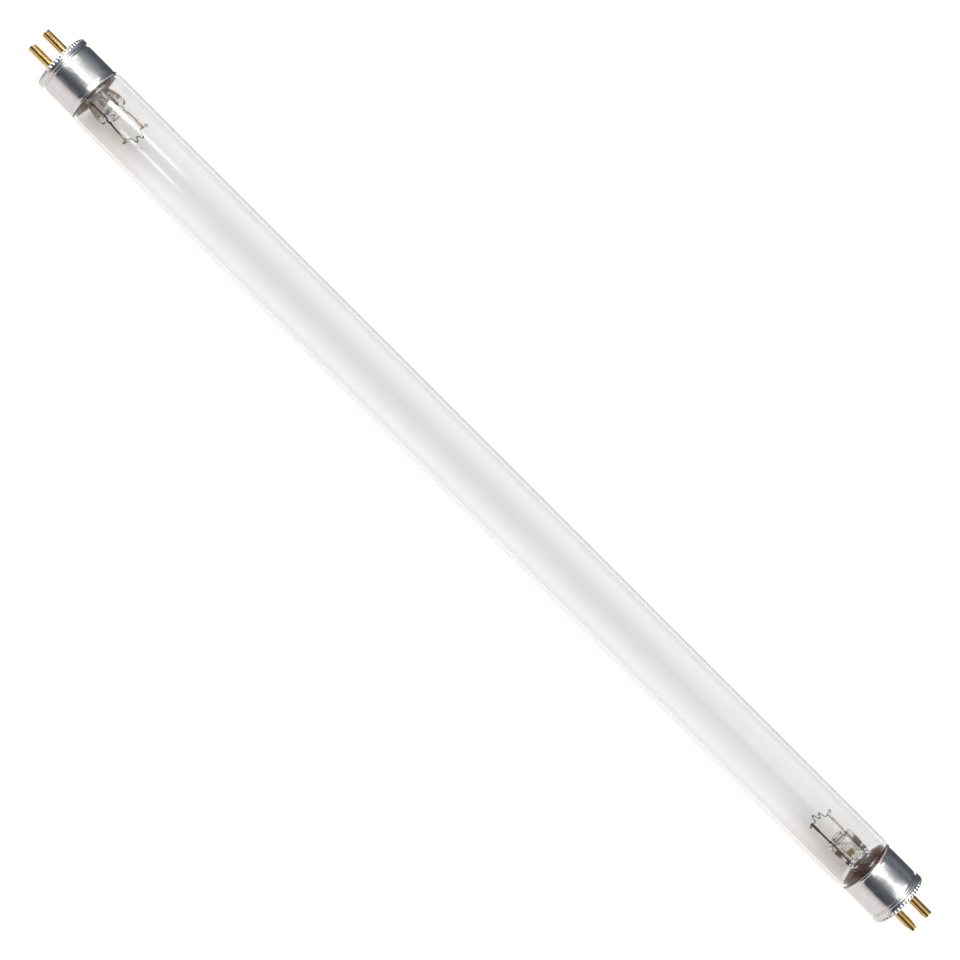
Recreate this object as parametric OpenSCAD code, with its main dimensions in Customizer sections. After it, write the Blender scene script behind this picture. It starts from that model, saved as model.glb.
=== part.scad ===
// Low-pressure ultraviolet lamp tube with a two-pin base at each end.
// The lamp lies along X, with its centre at the origin. The pins of both ends lie side by side in Y.
// Each end is drawn in its own frame: Z runs outwards along the lamp, and Y is the lamp's own Y.

/* [Lamp] */
// Length from one base face to the other, without the pins
face_len = 287.4; // [140:0.1:1200]
// Outer diameter of the glass tube
tube_d = 15.6; // [15.2:0.1:16.6]
// Wall of the glass tube
tube_wall = 0.8; // [0.6:0.05:1]

/* [Glass ends] */
// How far before the cap the tube starts to draw in
shoulder_lead = 1.2; // [1:0.1:2]
// Length of the drawn-in shoulder
shoulder_len = 2.4; // [2:0.1:3]
// Depth of the glass seal below the base face
seal_depth = 6; // [5:0.1:7.5]

/* [Cap] */
// Length of the cap from its open edge to the base face
cap_len = 11.9; // [10.5:0.1:16]
// How far the cap's plain body stays below the surface of the tube
shell_step = 0.4; // [0.3:0.05:0.8]
// Thickness of the cap's sheet metal
shell_wall = 0.3; // [0.2:0.05:0.35]
// Length of the flare at the open edge
lip_len = 0.9; // [0.7:0.1:1.5]
// How far the open edge stays below the surface of the tube
lip_step = 0.1; // [0:0.05:0.15]
// Height of the rim bead above the plain body
bead_rise = 0.3; // [0.2:0.05:0.4]
// Width of the rim bead
bead_w = 1.8; // [1.5:0.1:2.4]
// Corner radius of the rim bead
bead_round = 0.5; // [0.3:0.05:0.6]
// Depth of the groove beside the bead
groove_depth = 0.25; // [0.1:0.05:0.4]
// Width of the groove beside the bead
groove_w = 0.45; // [0.3:0.05:0.7]
// Width of the rim that is rolled in over the disc
rolled_w = 1; // [0.6:0.1:1.4]
// Number of serrations round the rim
serrations = 48; // [24:1:60]
// Radius of one serration
serration_r = 0.32; // [0.2:0.02:0.36]
// Depth of one serration
serration_depth = 0.14; // [0.06:0.02:0.16]
// Distance from the base face to the row of serrations
serration_inset = 0.55; // [0.4:0.05:0.7]

/* [Cement] */
// Thickness of the cement between cap and glass neck
cement_t = 0.35; // [0.25:0.05:0.5]
// How far before the glass seal the cement ends
cement_short = 1.1; // [0.8:0.1:2.5]
// Distance from the cap's open edge to the cement
cement_inset = 0.2; // [0.1:0.05:0.6]

/* [Insulating disc] */
// Height of the boss on the inner side of the disc
boss_t = 0.8; // [0.4:0.1:1.2]
// Room between the boss and the cap round it
boss_room = 1; // [0.5:0.1:1.2]

/* [Pins] */
// Length of a pin outside the base face
pin_len = 7.5; // [6.6:0.1:7.6]
// Diameter of a pin
pin_d = 2.3; // [2.2:0.05:2.6]
// Distance between the axes of two pins
pin_pitch = 4.75; // [4.6:0.05:4.9]
// Diameter of the shank that a pin narrows to in the disc
shank_d = 1.9; // [1.7:0.05:2.2]
// Bore of a pin
pin_bore = 1.2; // [0.9:0.05:1.3]
// Bore of a pin where its tip is closed on the wire
tip_bore = 0.6; // [0.5:0.05:0.8]
// Length of the closed tip
tip_len = 2.3; // [1.5:0.1:3]
// Bevel at the tip of a pin
tip_bevel = 0.2; // [0.1:0.05:0.3]
// Diameter of the flange that holds a pin behind the disc
flange_d = 3.4; // [3:0.1:4]
// Thickness of that flange
flange_t = 0.4; // [0.3:0.05:0.6]
// Diameter of the collar that stops a pin on the outer face of the disc
collar_d = 2.8; // [2.7:0.05:3.4]
// Thickness of that collar
collar_t = 0.25; // [0.15:0.05:0.25]
// Depth to which the slanted tip is cut off
slant_cut = 0.75; // [0.4:0.05:0.9]
// Depth to which each side of the crimped tip is pressed in
crimp_depth = 0.5; // [0.2:0.05:0.6]

/* [Stems] */
// Length of the left stem from the glass seal to the end of its press
left_stem_len = 11.2; // [10.5:0.1:18]
// Length of the right stem from the glass seal to the end of its press
right_stem_len = 14.9; // [12:0.1:18]
// Outer diameter of the stem tube
stem_d = 6.4; // [6.2:0.1:7]
// Wall of the stem tube
stem_wall = 0.6; // [0.5:0.05:0.7]
// How far the stems sit off the axis of the lamp
stem_offset = 0.3; // [0:0.05:0.3]
// Length of the trumpet between stem tube and seal
flare_len = 4.5; // [3.5:0.1:5]
// Length over which the stem tube flattens into the press
flatten_len = 1.5; // [1.2:0.1:2]
// Length of the left press
left_press_len = 4.2; // [3.5:0.1:4.5]
// Length of the right press
right_press_len = 5.6; // [3.5:0.1:6]
// Width of the left press
left_press_w = 8.3; // [7:0.1:9]
// Width of the right press
right_press_w = 7; // [6.6:0.1:9]
// Glass round the exhaust tube in a press
spine_wall = 0.5; // [0.3:0.05:0.7]
// Thickness of a press
press_t = 2.4; // [2:0.1:3]
// How far the rounded lobes of the left press reach past its middle
left_lobe_reach = 1.3; // [0.4:0.1:1.6]
// How far the rounded lobes of the right press reach past its middle
right_lobe_reach = 0.5; // [0.4:0.1:1.6]

/* [Exhaust tubes] */
// Outer diameter of the exhaust tube
exhaust_d = 3.2; // [2.8:0.1:3.4]
// Wall of the exhaust tube
exhaust_wall = 0.5; // [0.4:0.05:0.6]
// How far the left mouth stands past the press
left_mouth_reach = 2.5; // [0.5:0.1:3]
// How far the right mouth stands past the press
right_mouth_reach = 1.1; // [0.5:0.1:3]
// Distance from the base face to the closed tip of the exhaust tube
exhaust_depth = 3.4; // [3.2:0.1:4.5]

/* [Wires] */
// Distance between the two wires where they leave the press
wire_pitch = 4.2; // [4.1:0.05:4.4]
// Diameter of the seal wires in the press
seal_d = 0.4; // [0.3:0.02:0.44]
// Length of a seal wire outside each end of the press
seal_out = 0.4; // [0.2:0.05:0.8]
// Diameter of the nickel leads
lead_d = 0.44; // [0.36:0.02:0.5]
// Distance between the clamps at the left end
left_clamp_pitch = 5.2; // [4.4:0.1:5.4]
// Distance between the clamps at the right end
right_clamp_pitch = 4.5; // [4.4:0.1:5.4]
// Height of the small bend in the left leads, beside the press
left_kink = 0.35; // [0:0.05:0.5]
// Height of the small bend in the right leads, beside the press
right_kink = 0.1; // [0:0.05:0.5]
// Length of that bend
kink_len = 1.8; // [1.2:0.1:2.4]
// Mean distance from the left press to the eyes of its clamps
left_eye_reach = 8.1; // [6:0.1:10]
// Mean distance from the right press to the eyes of its clamps
right_eye_reach = 6.5; // [6:0.1:10]
// How much deeper the front clamp of the left end reaches than the back one
left_skew = -0.3; // [-1:0.1:1]
// How much deeper the front clamp of the right end reaches than the back one
right_skew = 0.9; // [-1:0.1:1]
// Length of the flattened and folded clamp, up to its eye
clamp_len = 2.3; // [1.5:0.1:3]
// Width of the flattened clamp
clamp_w = 0.65; // [0.5:0.05:0.9]
// Thickness of one layer of the clamp
clamp_layer = 0.22; // [0.15:0.01:0.3]
// Diameter of the copper tails in the pins
tail_d = 0.34; // [0.2:0.02:0.4]

/* [Cathodes] */
// Diameter of the cathode's wire
coil_wire_d = 0.09; // [0.05:0.01:0.1]
// Diameter of the small winding, between the centres of the wire
coil_d = 0.26; // [0.2:0.02:0.3]
// Distance between two turns of the small winding
coil_step = 0.34; // [0.3:0.01:0.5]
// Diameter of the large winding
loop_d = 1.45; // [0.8:0.05:1.6]
// Turns of the large winding
loops = 2; // [2:1:4]
// How far the middle of the left cathode bows into the lamp
left_bow = 0.85; // [0:0.05:1.2]
// How far the middle of the right cathode bows into the lamp
right_bow = 0.35; // [0:0.05:1.2]
// Length of the legs outside the clamps
leg_out = 0.7; // [0.3:0.1:1]

/* [Mercury] */
// Diameter of the mercury bead
bead_d = 0.9; // [0.4:0.1:1.2]
// Distance of the bead from the middle of the lamp, as a stretch before the right stem's seal
bead_place = 11.6; // [8:0.1:30]

/* [Hidden] */
$fn = 64;
fused_gap = 0.02; // left between faces that are fused or clamped
bed_gap = 0.04; // left between the cement and what it fills
lobe_gap = 0.1; // left between a lead and the lobe of glass beside it
contact_gap = 0.01; // left under the loose mercury bead
seam = 0.01; // depth to which solids of one piece run into each other
wire_sides = 8;
coil_sides = 4;
coil_steps = 8; // points on each turn of the small winding
overcut = 1; // how far a cut runs past what it cuts

tube_r = tube_d / 2;
bore_r = tube_r - tube_wall;
shell_r = tube_r - shell_step; // the cap is drawn to fit its tube
lip_r = tube_r - lip_step;
rim_r = shell_r + bead_rise;
neck_r = shell_r - shell_wall - cement_t;
face_z = face_len / 2;
edge_z = face_z - cap_len; // open edge of the cap
shoulder_z = edge_z - shoulder_lead;
neck_z = face_z - seal_depth; // end of the neck, where the stem is sealed on
disc_r = rim_r - shell_wall - fused_gap;
disc_top = face_z - shell_wall - fused_gap;
disc_bottom = face_z - bead_w;
boss_z = disc_bottom - boss_t;
boss_r = shell_r - groove_depth - shell_wall - boss_room;
tip_z = face_z + pin_len;
stem_r = stem_d / 2;
cavity_r = stem_r - stem_wall;
flare_z = neck_z - flare_len;
flange_in = neck_r - tube_wall - stem_offset - 0.1; // where the trumpet turns into a flat flange
flange_out = neck_r - stem_offset - 0.05;
exhaust_r = exhaust_d / 2;
exhaust_top = face_z - exhaust_depth;
eye_r = (coil_d + coil_wire_d) / 2 + fused_gap;
clamp_t = 2 * clamp_layer; // two layers, folded flat on each other

// The two ends differ a little, because stems are sealed in one at a time.
function stem_len(end) = end == "left" ? left_stem_len : right_stem_len;
function press_len(end) = end == "left" ? left_press_len : right_press_len;
function press_w(end) = end == "left" ? left_press_w : right_press_w;
function lobe_reach(end) = end == "left" ? left_lobe_reach : right_lobe_reach;
function mouth_reach(end) = end == "left" ? left_mouth_reach : right_mouth_reach;
function clamp_pitch(end) = end == "left" ? left_clamp_pitch : right_clamp_pitch;
function kink(end) = end == "left" ? left_kink : right_kink;
function skew(end) = end == "left" ? left_skew : right_skew;
function bow(end) = end == "left" ? left_bow : right_bow;
function middle_reach(end) = end == "left" ? left_eye_reach : right_eye_reach;
function eye_reach(end, side) = middle_reach(end) - side * skew(end) / 2;
function press_z(end) = neck_z - stem_len(end); // inner end of the press
function root_z(end) = press_z(end) + press_len(end); // outer end of the press
function lobe_in(end) = wire_pitch / 2 + kink(end) + lead_d / 2 + lobe_gap; // inner edge of a lobe

// An S-curve from 0 to 1, and a bump that rises to 1 at t = 0.
function ease(t) = 0.5 - 0.5 * cos(180 * min(max(t, 0), 1));
function bump(t) = abs(t) >= 1 ? 0 : 0.5 + 0.5 * cos(180 * t);
function arc(x, y, r, from, to, steps) =
  [for (i = [0:steps]) let (a = from + (to - from) * i / steps) [x + r * cos(a), y + r * sin(a)]];
function steps_between(from, to, n) = [for (i = [0:n]) from + (to - from) * i / n];
function reversed(list) = [for (i = [len(list) - 1:-1:0]) list[i]];

// Radius of the glass and of the cap's sheet at a height z of the end frame.
function glass_r(z) = tube_r + (neck_r - tube_r) * ease((z - shoulder_z) / shoulder_len);
function sheet_r(z) = lip_r + (shell_r - lip_r) * ease((z - edge_z) / lip_len);

module left_end() {
  rotate([0, -90, 0]) children();
}

module right_end() {
  rotate([0, 90, 0]) children();
}

// A round wire along points, turned into one closed solid. Each ring is carried on from the last one
// without twist, so that a coil doesn't wring its wire.
function unit(v) = v / norm(v);
function heading(path, i) = unit(path[min(i + 1, len(path) - 1)] - path[max(i - 1, 0)]);
function across(v, t) = unit(v - (v * t) * t);
function side_start(t) = across(abs(t[0]) < 0.7 ? [1, 0, 0] : [0, 1, 0], t);
function sides_along(path) =
  [for (i = 0, s = side_start(heading(path, 0)); i < len(path);
        i = i + 1, s = i < len(path) ? across(s, heading(path, i)) : s) s];

module wire(path, r, sides = wire_sides) {
  side = sides_along(path);
  rings = len(path);
  points = [for (i = [0:rings - 1])
    let (t = heading(path, i), s = side[i], b = cross(t, s))
    for (k = [0:sides - 1]) let (a = 360 * k / sides) path[i] + r * (cos(a) * s + sin(a) * b)];
  walls = [for (i = [0:rings - 2]) for (k = [0:sides - 1])
    let (a = i * sides + k, b = i * sides + (k + 1) % sides)
    [a, a + sides, b + sides, b]];
  first = [for (k = [0:sides - 1]) k];
  last = [for (k = [sides - 1:-1:0]) (rings - 1) * sides + k];
  polyhedron(points, concat([first], walls, [last]), convexity = 6);
}

// Envelope

module glass_tube() {
  shoulder = steps_between(shoulder_z, shoulder_z + shoulder_len, 12);
  half = concat([for (z = shoulder) [glass_r(z), z]], [[neck_r, neck_z]]);
  outside = concat([for (p = reversed(half)) [p[0], -p[1]]], half);
  inside = [for (p = reversed(outside)) [p[0] - tube_wall, p[1]]];
  color("white", 0.3)
    rotate([0, 90, 0])
      rotate_extrude()
        polygon(concat(outside, inside));
}

module mercury_bead() {
  color("silver")
    translate([neck_z - bead_place, 0, bead_d / 2 + contact_gap - bore_r])
      sphere(d = bead_d);
}

// Cap

module cap_shell() {
  groove_z = disc_bottom - groove_w; // where the plain body ends
  groove_r = shell_r - groove_depth;
  lip = steps_between(edge_z, edge_z + lip_len, 12);
  outer = concat(
    [for (z = lip) [sheet_r(z), z]],
    [[shell_r, groove_z - groove_depth], [groove_r, groove_z], [groove_r, disc_bottom - groove_w / 3]],
    arc(rim_r - bead_round / 2, disc_bottom + bead_round / 2, bead_round / 2, -60, 0, 4),
    arc(rim_r - bead_round, face_z - bead_round, bead_round, 0, 90, 6)
  );
  inner = concat(
    [[rim_r - rolled_w - shell_wall, face_z], [rim_r - rolled_w - shell_wall, face_z - shell_wall]],
    [[rim_r - shell_wall, face_z - shell_wall], [rim_r - shell_wall, disc_bottom]],
    [[groove_r - shell_wall, disc_bottom - fused_gap], [groove_r - shell_wall, groove_z]],
    [[shell_r - shell_wall, groove_z - groove_depth]],
    [for (z = reversed(lip)) [sheet_r(z) - shell_wall, z]]
  );
  color("lightgray")
    difference() {
      rotate_extrude()
        polygon(concat(outer, inner));
      for (i = [0:serrations - 1])
        rotate([0, 0, 360 * (i + 0.5) / serrations])
          translate([rim_r + serration_r - serration_depth, 0, face_z - serration_inset])
            sphere(r = serration_r, $fn = 24);
    }
}

module base_disc() {
  hole_r = shank_d / 2 + fused_gap;
  color("saddlebrown")
    difference() {
      union() {
        translate([0, 0, disc_bottom + fused_gap])
          cylinder(h = disc_top - disc_bottom - fused_gap, r = disc_r);
        translate([0, 0, boss_z])
          cylinder(h = boss_t + fused_gap + seam, r = boss_r);
      }
      for (side = [-1, 1])
        translate([0, side * pin_pitch / 2, boss_z - overcut])
          cylinder(h = disc_top - boss_z + 2 * overcut, r = hole_r);
    }
}

module cement() {
  heights = steps_between(edge_z + cement_inset, neck_z - cement_short, 16);
  color("sienna")
    rotate_extrude()
      polygon(concat(
        [for (z = heights) [sheet_r(z) - shell_wall - bed_gap, z]],
        [for (z = reversed(heights)) [glass_r(z) + bed_gap, z]]
      ));
}

// A hollow pin, held in the disc between its flange and a collar. Its tip is closed on the wire. One
// tip is cut slanting, and one is crimped flat from both sides.
module pin(side, tip = "plain") {
  r = pin_d / 2;
  shank_r = shank_d / 2;
  back_z = boss_z - fused_gap - flange_t;
  collar_z = disc_top + fused_gap;
  profile = [
    [pin_bore / 2, back_z], [flange_d / 2, back_z], [flange_d / 2, back_z + flange_t],
    [shank_r, back_z + flange_t], [shank_r, collar_z], [collar_d / 2, collar_z],
    [collar_d / 2, collar_z + collar_t], [r, collar_z + collar_t],
    [r, tip_z - tip_bevel], [r - tip_bevel, tip_z],
    [tip_bore / 2, tip_z], [tip_bore / 2, tip_z - tip_len], [pin_bore / 2, tip_z - tip_len - 0.3]
  ];
  color("goldenrod")
    translate([0, side * pin_pitch / 2, 0])
      difference() {
        rotate_extrude()
          polygon(profile);
        if (tip == "slanted")
          translate([0, -side * r, tip_z - slant_cut])
            rotate([side * 45, 0, 0])
              translate([-pin_d, -pin_d, 0])
                cube(2 * pin_d);
        if (tip == "crimped")
          for (flat = [-1, 1])
            translate([0, flat * r, tip_z - tip_len])
              rotate([flat * atan(crimp_depth / tip_len), 0, 0])
                translate([-pin_d, flat > 0 ? 0 : -2 * pin_d, 0])
                  cube([2 * pin_d, 2 * pin_d, 2 * tip_len]);
      }
}

// Stem

// Cross-section of the press: a flat bar with round edges.
module press_section(w) {
  r = press_t / 2;
  polygon(concat(
    arc(0, w / 2 - r, r, 0, 180, 10),
    arc(0, r - w / 2, r, 180, 360, 10)
  ));
}

// Outline of the press seen flat: a rounded lobe on each side reaches past the straight middle.
module press_outline(end) {
  lobe_r = (press_w(end) / 2 - lobe_in(end)) / 2;
  lobe_y = press_w(end) / 2 - lobe_r;
  lobe_z = press_z(end) - lobe_reach(end) + lobe_r;
  right_lobe = arc(lobe_y, lobe_z, lobe_r, -90, 0, 6);
  left_lobe = arc(-lobe_y, lobe_z, lobe_r, 180, 270, 6);
  polygon(concat(
    right_lobe,
    [[press_w(end) / 2, root_z(end) + 1], [-press_w(end) / 2, root_z(end) + 1]],
    left_lobe,
    [[-lobe_in(end), lobe_z - lobe_r], [-lobe_in(end), press_z(end)]],
    [[lobe_in(end), press_z(end)], [lobe_in(end), lobe_z - lobe_r]]
  ));
}

module trumpet(end) {
  wall = stem_wall;
  reach = flange_in - stem_r;
  turn = steps_between(0, 90, 12);
  start_z = root_z(end) + flatten_len - seam;
  outer = [for (a = turn) [stem_r + reach * (1 - cos(a)), flare_z + flare_len * sin(a)]];
  inner = [for (a = reversed(turn))
    [stem_r + reach * (1 - cos(a)) - wall * cos(a), flare_z + flare_len * sin(a) + wall * sin(a)]];
  lift = fused_gap;
  translate([0, 0, lift])
    rotate_extrude()
      polygon(concat(
        [[cavity_r, start_z - lift], [stem_r, start_z - lift]], outer,
        [[flange_out, neck_z], [flange_out, neck_z + wall]], inner
      ));
}

module stem(end) {
  press_h = press_len(end) + lobe_reach(end);
  spine_r = exhaust_r + spine_wall;
  front_z = press_z(end) - lobe_reach(end) - overcut;
  color("white", 0.4)
    translate([0, stem_offset, 0])
      difference() {
        union() {
          trumpet(end);
          hull() {
            translate([0, 0, root_z(end) + flatten_len - 0.2])
              cylinder(h = 0.2, r = stem_r, $fn = 32);
            translate([0, 0, root_z(end) - seam])
              linear_extrude(0.2)
                press_section(press_w(end));
          }
          intersection() {
            translate([0, 0, press_z(end) - lobe_reach(end)])
              linear_extrude(press_h)
                press_section(press_w(end));
            rotate([90, 0, 90])
              linear_extrude(2 * press_t, center = true)
                press_outline(end);
          }
          translate([0, 0, press_z(end)])
            cylinder(h = press_len(end) + 0.2, r = spine_r);
        }
        translate([0, 0, front_z])
          cylinder(h = neck_z - front_z, r = exhaust_r + fused_gap);
        translate([0, 0, root_z(end) + flatten_len - 0.8])
          cylinder(h = 0.8 + 2 * seam, r1 = cavity_r - 0.5, r2 = cavity_r);
        for (side = [-1, 1])
          translate([0, side * wire_pitch / 2, front_z])
            cylinder(h = root_z(end) + flatten_len - front_z, r = seal_d / 2 + fused_gap);
      }
}

module exhaust_tube(end) {
  mouth_z = press_z(end) - mouth_reach(end);
  bore = exhaust_r - exhaust_wall;
  color("white", 0.4)
    translate([0, stem_offset, 0])
      rotate_extrude()
        polygon(concat(
          [[bore, mouth_z], [exhaust_r, mouth_z]],
          arc(0, exhaust_top - exhaust_r, exhaust_r, 0, 90, 8),
          arc(0, exhaust_top - exhaust_r, bore, 90, 0, 8)
        ));
}

// Wires

module seal_wire(end, side) {
  bottom = press_z(end) - seal_out;
  top = root_z(end) + flatten_len + seal_out;
  color("peru")
    translate([0, stem_offset + side * wire_pitch / 2, bottom])
      cylinder(h = top - bottom, d = seal_d);
}

// Sideways place of a lead at a distance from its press: a small bend, then a slow drift outwards.
function lead_y(end, u) =
  wire_pitch / 2
  + (clamp_pitch(end) - wire_pitch) / 2 * ease(u / (middle_reach(end) - clamp_len - 1))
  + kink(end) * bump((u - seal_out - kink_len / 2) / (kink_len / 2));

module lead(end, side) {
  start = seal_out + fused_gap;
  straight = 0.1; // the butt end stays square to the seal wire
  stop = eye_reach(end, side) - clamp_len + clamp_w / 2;
  ring = eye_r + clamp_layer;
  butt = [for (u = [start, start + straight]) [0, side * wire_pitch / 2, -u]];
  run = [for (u = steps_between(start + 2 * straight, stop, 15)) [0, side * lead_y(end, u), -u]];
  color("tan")
    translate([0, stem_offset, press_z(end)]) {
      wire(concat(butt, run), lead_d / 2);
      translate([0, side * clamp_pitch(end) / 2 + clamp_w / 2, -eye_reach(end, side)])
        rotate([90, 0, 0])
          linear_extrude(clamp_w)
            difference() {
              union() {
                circle(r = ring);
                translate([-clamp_t / 2, 0])
                  square([clamp_t, clamp_len]);
              }
              circle(r = eye_r);
            }
    }
}

module tail(end, side) {
  from_y = stem_offset + side * wire_pitch / 2;
  to_y = side * pin_pitch / 2;
  start = root_z(end) + flatten_len + seal_out + fused_gap;
  bend = boss_z - flange_t - 0.8;
  color("chocolate")
    wire([
      [0, from_y, start], [0, from_y, start + 0.4], [0, to_y, bend], [0, to_y, bend + 0.4],
      [0, to_y, tip_z - tip_bevel - slant_cut]
    ], tail_d / 2);
}

// Cathode: a small winding that is wound again into a few large loops, with a straight leg through
// each clamp.

function loop_point(end, t) =
  let (
    span = clamp_pitch(end) + clamp_w + 2 * leg_out,
    coiled = clamp_pitch(end) - clamp_w - loop_d / 2, // the loops stay between the clamps
    s = (t - 0.5) * span / coiled + 0.5, // 0 to 1 along the loops
    swell = ease(2 * s * loops) * ease(2 * (1 - s) * loops), // full width from half a turn on
    a = 360 * loops * s
  )
  [loop_d / 2 * swell * sin(a),
   span * (0.5 - t),
   -loop_d / 2 * swell * (1 - cos(a)) - bow(end) * bump(2 * s - 1) + skew(end) * (0.5 - ease(s))];

function path_len(path) =
  let (steps = [for (i = [1:len(path) - 1]) norm(path[i] - path[i - 1])]) steps * [for (s = steps) 1];

module filament(end) {
  rough = [for (t = steps_between(0, 1, 200)) loop_point(end, t)];
  turns = round(path_len(rough) / coil_step);
  centre = [for (t = steps_between(0, 1, turns * coil_steps)) loop_point(end, t)];
  side = sides_along(centre);
  path = [for (i = [0:len(centre) - 1])
    let (t = heading(centre, i), b = cross(t, side[i]), a = 360 * i / coil_steps)
    centre[i] + coil_d / 2 * (cos(a) * side[i] + sin(a) * b)];
  color("dimgray")
    translate([0, stem_offset, press_z(end) - middle_reach(end)])
      wire(path, coil_wire_d / 2, coil_sides);
}

glass_tube();
mercury_bead();
left_end() cap_shell();  // left_cap_shell
left_end() base_disc();  // left_base_disc
left_end() pin(-1, "slanted");  // left_front_pin
left_end() pin(1);  // left_back_pin
left_end() cement();  // left_cement
left_end() stem("left");  // left_stem
left_end() exhaust_tube("left");  // left_exhaust_tube
left_end() lead("left", -1);  // left_front_lead
left_end() lead("left", 1);  // left_back_lead
left_end() seal_wire("left", -1);  // left_front_seal
left_end() seal_wire("left", 1);  // left_back_seal
left_end() tail("left", -1);  // left_front_tail
left_end() tail("left", 1);  // left_back_tail
left_end() filament("left");  // left_filament
right_end() cap_shell();  // right_cap_shell
right_end() base_disc();  // right_base_disc
right_end() pin(-1, "crimped");  // right_front_pin
right_end() pin(1);  // right_back_pin
right_end() cement();  // right_cement
right_end() stem("right");  // right_stem
right_end() exhaust_tube("right");  // right_exhaust_tube
right_end() lead("right", -1);  // right_front_lead
right_end() lead("right", 1);  // right_back_lead
right_end() seal_wire("right", -1);  // right_front_seal
right_end() seal_wire("right", 1);  // right_back_seal
right_end() tail("right", -1);  // right_front_tail
right_end() tail("right", 1);  // right_back_tail
right_end() filament("right");  // right_filament
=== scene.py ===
"""Looks of a low-pressure ultraviolet lamp tube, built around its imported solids.

The lamp lies along X with its centre at the origin. Its sizes are in millimetres, as a maker
writes them, and become metres in one place, mesh_piece(). Each end is drawn in its own frame:
z runs outwards along the lamp, y is the lamp's own Y, and x is the third direction.
"""

import math

import bmesh
import bpy
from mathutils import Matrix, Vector


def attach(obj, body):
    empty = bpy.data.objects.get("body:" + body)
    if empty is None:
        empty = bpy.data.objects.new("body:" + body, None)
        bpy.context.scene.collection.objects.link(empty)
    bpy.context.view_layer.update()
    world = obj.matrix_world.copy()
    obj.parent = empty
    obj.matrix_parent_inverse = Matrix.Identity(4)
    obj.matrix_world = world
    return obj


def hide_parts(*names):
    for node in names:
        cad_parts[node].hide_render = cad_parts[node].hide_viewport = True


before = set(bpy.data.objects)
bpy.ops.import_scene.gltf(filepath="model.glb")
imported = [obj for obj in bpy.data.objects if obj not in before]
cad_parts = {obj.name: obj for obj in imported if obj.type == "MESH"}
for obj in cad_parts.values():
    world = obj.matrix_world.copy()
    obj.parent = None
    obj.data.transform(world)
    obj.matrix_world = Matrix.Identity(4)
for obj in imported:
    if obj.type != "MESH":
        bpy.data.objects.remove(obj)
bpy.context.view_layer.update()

# Sizes of the lamp, in millimetres

MM = 0.001
FACE_LEN = 287.4
TUBE_R = 7.8
TUBE_WALL = 0.8
SHOULDER_LEAD = 1.2
SHOULDER_LEN = 2.4
SEAL_DEPTH = 6.0
CAP_LEN = 11.9
SHELL_R = TUBE_R - 0.4
SHELL_WALL = 0.3
LACQUER = 0.08
LIP_LEN = 0.9
LIP_R = TUBE_R - 0.1
RIM_R = SHELL_R + 0.3
BEAD_W = 1.8
BEAD_ROUND = 0.5
GROOVE_DEPTH = 0.25
GROOVE_W = 0.45
ROLLED_W = 1.0
SERRATIONS = 48
SERRATION_LEN = 1.05
SERRATION_W = 0.62
SERRATION_DEPTH = 0.2
SERRATION_INSET = 0.55
CEMENT_T = 0.35
CEMENT_INSET = 0.2
CEMENT_SHORT = 1.1
BOSS_T = 0.8
BOSS_ROOM = 1.0
PIN_LEN = 7.5
PIN_R = 1.15
PIN_PITCH = 4.75
SHANK_R = 0.95
PIN_BORE_R = 0.6
TIP_BORE_R = 0.3
TIP_LEN = 2.3
TIP_BEVEL = 0.2
FLANGE_R = 1.7
FLANGE_T = 0.4
COLLAR_R = 1.4
COLLAR_T = 0.25
SLANT_CUT = 0.75
CRIMP_DEPTH = 0.5
STEM_R = 3.2
STEM_WALL = 0.6
STEM_OFFSET = 0.3
FLARE_LEN = 4.5
FLATTEN_LEN = 1.5
PRESS_T = 2.4
SPINE_WALL = 0.5
EXHAUST_R = 1.6
EXHAUST_WALL = 0.5
EXHAUST_DEPTH = 3.4
MOUTH_SEAT = 0.5
WIRE_PITCH = 4.2
SEAL_OUT = 0.4
LEAD_R = 0.22
KINK_LEN = 1.8
CLAMP_LEN = 2.3
CLAMP_W = 0.65
CLAMP_LAYER = 0.22
COIL_WIRE_R = 0.045
COIL_R = 0.13
COIL_STEP = 0.2
LOOP_D = 1.45
LOOPS = 2
LEG_OUT = 0.7
HOOK_R = 0.3
KNOT_ROLL = 0.24
KNOT_R = 0.34
KNOT_LEN = 0.8
MERCURY_R = 0.45
MERCURY_PLACE = 11.6
FUSED_GAP = 0.02
BED_GAP = 0.04
WETTED = 0.01

NECK_R = SHELL_R - SHELL_WALL - CEMENT_T
FACE_Z = FACE_LEN / 2
EDGE_Z = FACE_Z - CAP_LEN
SHOULDER_Z = EDGE_Z - SHOULDER_LEAD
NECK_Z = FACE_Z - SEAL_DEPTH
TIP_Z = FACE_Z + PIN_LEN
DISC_TOP = FACE_Z - SHELL_WALL - FUSED_GAP
DISC_BOTTOM = FACE_Z - BEAD_W
BOSS_Z = DISC_BOTTOM - BOSS_T
EYE_R = COIL_R + COIL_WIRE_R + FUSED_GAP
BODY_MIDDLE = (EDGE_Z + LIP_LEN + DISC_BOTTOM - GROOVE_W) / 2
BODY_HALF = (DISC_BOTTOM - GROOVE_W - EDGE_Z - LIP_LEN) / 2


class End:
    """What differs between the two ends of the lamp."""

    def __init__(self, name, outwards, stem_len, press_len, press_w, lobe_reach, mouth_reach,
                 clamp_pitch, kink, reach, skew, bow, knots, front_tip):
        self.name = name
        self.outwards = outwards
        self.press_z = NECK_Z - stem_len
        self.root_z = self.press_z + press_len
        self.press_w = press_w
        self.lobe_reach = lobe_reach
        self.mouth_reach = mouth_reach
        self.clamp_pitch = clamp_pitch
        self.kink = kink
        self.reach = reach
        self.skew = skew
        self.bow = bow
        self.knots = knots
        self.front_tip = front_tip

    def place(self, x, y, z):
        """A point of the end's own frame, in the lamp's frame."""
        return (self.outwards * z, y, -self.outwards * x)


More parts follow.
